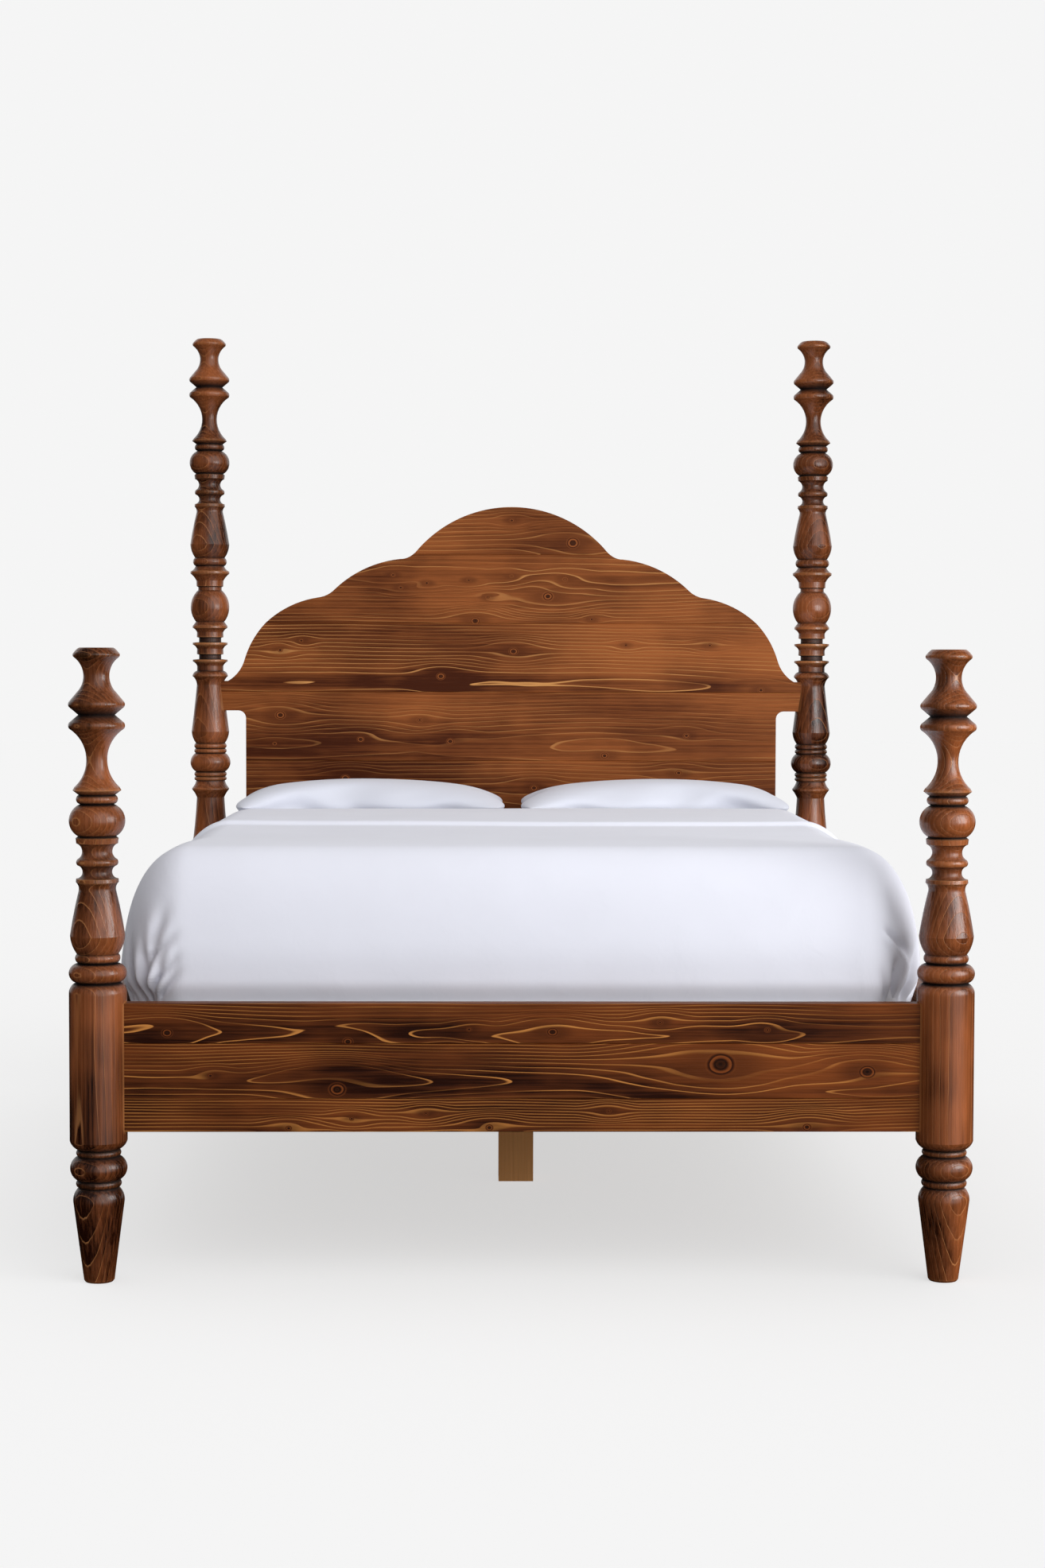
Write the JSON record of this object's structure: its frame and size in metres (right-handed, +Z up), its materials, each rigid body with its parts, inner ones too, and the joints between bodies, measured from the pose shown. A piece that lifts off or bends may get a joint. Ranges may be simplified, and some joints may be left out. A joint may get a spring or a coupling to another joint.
{
  "type": "poster bed",
  "caption": "Poster bed with turned posts, tall at the head and short at the foot, scalloped plank headboard, slatted rail frame and made-up white bedding.",
  "frame": {"origin": "on the floor under the middle of the bed", "axes": "+Z up, +Y towards the headboard, +X to the right seen from the foot"},
  "size_m": [1.687, 2.2069, 1.989],
  "materials": {
    "turned_pine": "dark brown stained pine, satin lacquer",
    "rail_pine": "dark brown stained pine, satin lacquer",
    "panel_pine": "brown stained pine, satin lacquer",
    "support_pine": "plain oiled pine",
    "zinc_steel": "zinc plated",
    "mattress_ticking": "woven ticking",
    "cotton_sheet": "plain white cotton",
    "cotton_duvet": "white cotton sateen, quilted filling",
    "cotton_pillow": "white cotton sateen"
  },
  "bodies": {
    "frame": {"head_post_left": "turned_pine", "head_post_right": "turned_pine", "foot_post_left": "turned_pine", "foot_post_right": "turned_pine", "foot_rail_board_lower": "rail_pine", "foot_rail_board_middle": "rail_pine", "foot_rail_board_upper": "rail_pine", "head_rail_board_lower": "rail_pine", "head_rail_board_middle": "rail_pine", "head_rail_board_upper": "rail_pine", "headboard_plank_1": "panel_pine", "headboard_plank_2": "panel_pine", "headboard_plank_3": "panel_pine", "headboard_plank_4": "panel_pine", "headboard_plank_5": "panel_pine", "headboard_plank_6": "panel_pine", "side_rail_left": "rail_pine", "side_rail_right": "rail_pine", "slat_ledger_left": "support_pine", "slat_ledger_right": "support_pine", "slat_01": "support_pine", "slat_02": "support_pine", "slat_03": "support_pine", "slat_04": "support_pine", "slat_05": "support_pine", "slat_06": "support_pine", "slat_07": "support_pine", "slat_08": "support_pine", "slat_09": "support_pine", "slat_10": "support_pine", "slat_11": "support_pine", "slat_12": "support_pine", "slat_13": "support_pine", "centre_beam": "support_pine", "centre_leg": "support_pine", "beam_hangers": "zinc_steel", "hanger_screws": "zinc_steel", "ledger_screws": "zinc_steel", "leg_bolt": "zinc_steel", "leg_nut": "zinc_steel", "plate_screws": "zinc_steel", "post_slot_plates": "zinc_steel", "rail_hook_plates": "zinc_steel", "slat_screws": "zinc_steel"},
    "mattress": {"mattress": "mattress_ticking", "fitted_sheet": "cotton_sheet"},
    "duvet": {"duvet": "cotton_duvet"},
    "pillow_left": {"pillow_left": "cotton_pillow"},
    "pillow_right": {"pillow_right": "cotton_pillow"}
  },
  "joints": [
    {"name": "mattress_lift", "type": "slide", "parent": "frame", "child": "mattress", "axis": [0, 0, 1], "range_m": [0, 0.35]},
    {"name": "duvet_lift", "type": "slide", "parent": "mattress", "child": "duvet", "axis": [0, 0, 1], "range_m": [0, 0.35]},
    {"name": "pillow_left_lift", "type": "slide", "parent": "mattress", "child": "pillow_left", "axis": [0, 0, 1], "range_m": [0, 0.3]},
    {"name": "pillow_right_lift", "type": "slide", "parent": "mattress", "child": "pillow_right", "axis": [0, 0, 1], "range_m": [0, 0.3]}
  ]
}
